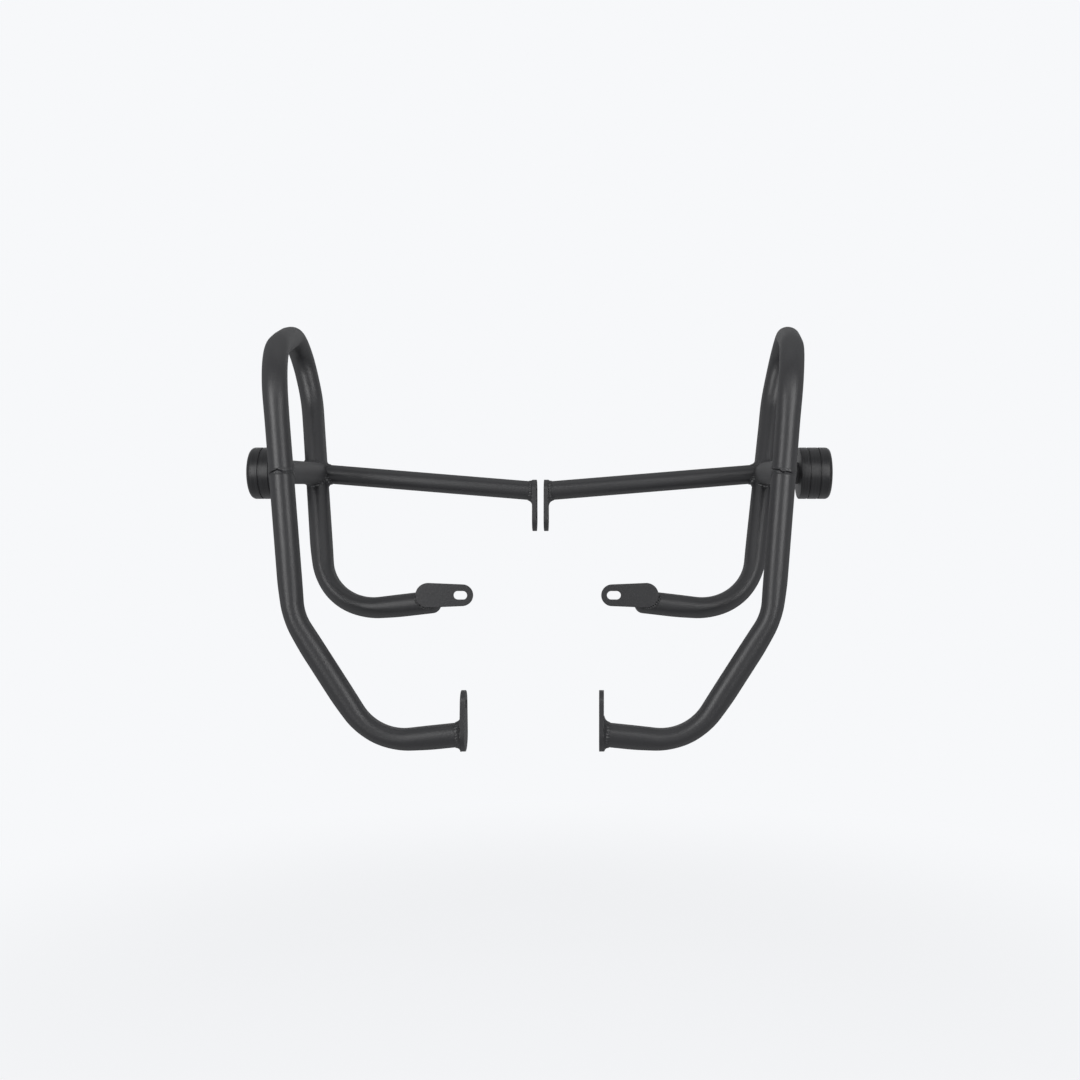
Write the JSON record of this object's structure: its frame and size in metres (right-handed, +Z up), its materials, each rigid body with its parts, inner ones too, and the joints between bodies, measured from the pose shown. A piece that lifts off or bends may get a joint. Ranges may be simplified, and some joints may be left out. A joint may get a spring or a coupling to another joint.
{
  "type": "motorcycle crash bars",
  "caption": "Mirrored bent-tube crash bars for a motorcycle, welded to drilled mounting plates and slotted lugs, with bolt-on slider pucks.",
  "frame": {"origin": "middle of the upper bolt, midway between the two upper plates", "axes": "+X to the right along the upper bolt, +Y to the rear, +Z up, as the pair is seen from the front"},
  "size_m": [0.6724, 0.2204, 0.4674],
  "materials": {
    "powder_coat": "matt black fine-textured powder coat on welded steel tube",
    "puck_plastic": "turned black nylon",
    "bolt_steel": "black oxide"
  },
  "bodies": {
    "root": {"left_bridge_front_weld": "powder_coat", "left_bridge_rear_weld": "powder_coat", "left_bridge_tube": "powder_coat", "left_butt_weld": "powder_coat", "left_cross_tube": "powder_coat", "left_cross_tube_weld": "powder_coat", "left_front_leg_tube": "powder_coat", "left_hoop_end_cap": "powder_coat", "left_hoop_tube": "powder_coat", "left_lower_plate": "powder_coat", "left_lower_plate_weld": "powder_coat", "left_rear_lug": "powder_coat", "left_rear_lug_weld": "powder_coat", "left_slider_boss": "powder_coat", "left_slider_boss_weld": "powder_coat", "left_slider_puck": "puck_plastic", "left_upper_plate": "powder_coat", "left_upper_plate_weld": "powder_coat", "right_bridge_front_weld": "powder_coat", "right_bridge_rear_weld": "powder_coat", "right_bridge_tube": "powder_coat", "right_butt_weld": "powder_coat", "right_cross_tube": "powder_coat", "right_cross_tube_weld": "powder_coat", "right_front_leg_tube": "powder_coat", "right_hoop_end_cap": "powder_coat", "right_hoop_tube": "powder_coat", "right_lower_plate": "powder_coat", "right_lower_plate_weld": "powder_coat", "right_rear_lug": "powder_coat", "right_rear_lug_weld": "powder_coat", "right_slider_boss": "powder_coat", "right_slider_boss_weld": "powder_coat", "right_slider_puck": "puck_plastic", "right_upper_plate": "powder_coat", "right_upper_plate_weld": "powder_coat", "slider_bolts": "bolt_steel", "slider_washers": "bolt_steel"}
  },
  "joints": []
}
